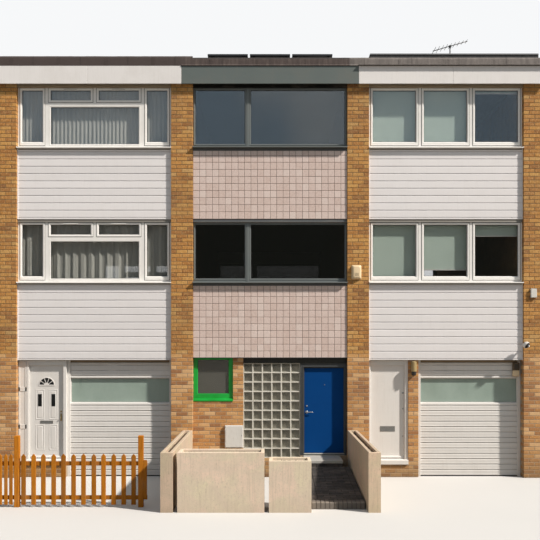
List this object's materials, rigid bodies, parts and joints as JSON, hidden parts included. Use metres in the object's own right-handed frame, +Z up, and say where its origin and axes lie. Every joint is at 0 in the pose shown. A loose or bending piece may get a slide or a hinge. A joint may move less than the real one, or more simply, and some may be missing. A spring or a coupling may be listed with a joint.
{
  "type": "terraced house row",
  "caption": "Row of three narrow flat-roofed terraced houses, three storeys, brick cross walls with white-boarded and pink-tiled panels, window bands and hinged front doors.",
  "frame": {"origin": "on the ground at the centre of the plan of the three houses", "axes": "+X along the street to the right as seen from it, +Y into the houses, +Z up"},
  "size_m": [11.48, 11.94, 9.7046],
  "materials": {
    "brick": "yellow-brown stock brick in weathered mortar",
    "concrete_floor": "float-finished concrete",
    "timber_floor": "plain boarding",
    "roof_felt": "mineral felt",
    "kerb_felt": "dark brown mineral felt",
    "white_paint": "painted, slightly weathered",
    "grey_paint": "painted mid grey",
    "stained_timber": "brown stained timber",
    "wall_panel": "plain block and render",
    "white_boards": "white shiplap boards",
    "pink_tile": "pale pink glazed tile",
    "white_frame": "smooth white frame",
    "dark_frame": "dark grey powder coat",
    "window_glass": "clear double glazing",
    "white_door": "white gloss paint",
    "blue_door": "blue satin paint",
    "steel_grey": "dark grey painted steel",
    "handle_metal": "satin",
    "frosted_glass": "obscured",
    "green_frame": "bright green powder coat",
    "glass_block": "clear pressed glass in white joints",
    "landing_concrete": "pale precast concrete",
    "ramp_brick": "dark brick pavers",
    "cast_concrete": "cast concrete with pores",
    "soil": "dry soil",
    "white_box": "moulded",
    "cream_box": "sun-faded cream",
    "solar_glass": "dark cells in a frame",
    "aerial_metal": "dull",
    "fence_wood": "orange-brown stain"
  },
  "bodies": {
    "row": {"party_walls": "brick", "ground_floors": "concrete_floor", "first_floors": "timber_floor", "second_floors": "timber_floor", "roof_deck": "roof_felt", "roof_kerbs": "kerb_felt", "fascias_left": "white_paint", "fascias_middle": "grey_paint", "fascias_right": "white_paint", "window_head_boards": "stained_timber", "panel_walls": "wall_panel", "rear_apron_walls": "brick", "shiplap_left": "white_boards", "shiplap_right": "white_boards", "tile_panels": "pink_tile", "left_upper_window": "white_frame", "left_lower_window": "white_frame", "middle_upper_window": "dark_frame", "middle_lower_window": "dark_frame", "right_upper_window": "white_frame", "right_lower_window": "white_frame", "rear_white_windows": "white_frame", "rear_dark_windows": "dark_frame", "window_glass": "window_glass", "left_door_frame": "white_door", "middle_door_frame": "steel_grey", "right_door_frame": "white_door", "door_bases": "brick", "narrow_pier": "brick", "garage_fronts": "white_paint", "garage_glass": "frosted_glass", "middle_brickwork": "brick", "green_window": "green_frame", "glass_block_screen": "glass_block", "steel_lintel": "steel_grey", "entrance_landing": "landing_concrete", "entrance_ramp": "ramp_brick", "trough_walls": "cast_concrete", "planter_boxes": "cast_concrete", "planter_soil": "soil", "wall_boxes": "white_box", "alarm_box": "cream_box", "wall_lamps": "cream_box", "solar_panels": "solar_glass", "roof_upstand": "kerb_felt", "tv_aerial": "aerial_metal", "picket_fence": "fence_wood"},
    "left_door": {"left_door": "white_door"},
    "middle_door": {"middle_door": "blue_door", "middle_door_handle": "handle_metal"},
    "right_door": {"right_door": "white_door"}
  },
  "joints": [
    {"name": "left_door_hinge", "type": "hinge", "parent": "row", "child": "left_door", "pos_m": [-5.065, -4.012, 0], "axis": [0, 0, 1], "range_deg": [0, 90]},
    {"name": "middle_door_hinge", "type": "hinge", "parent": "row", "child": "middle_door", "pos_m": [1.555, -4.037, 0], "axis": [0, 0, -1], "range_deg": [0, 90]},
    {"name": "right_door_hinge", "type": "hinge", "parent": "row", "child": "right_door", "pos_m": [2.111, -4.012, 0], "axis": [0, 0, 1], "range_deg": [0, 90]}
  ]
}
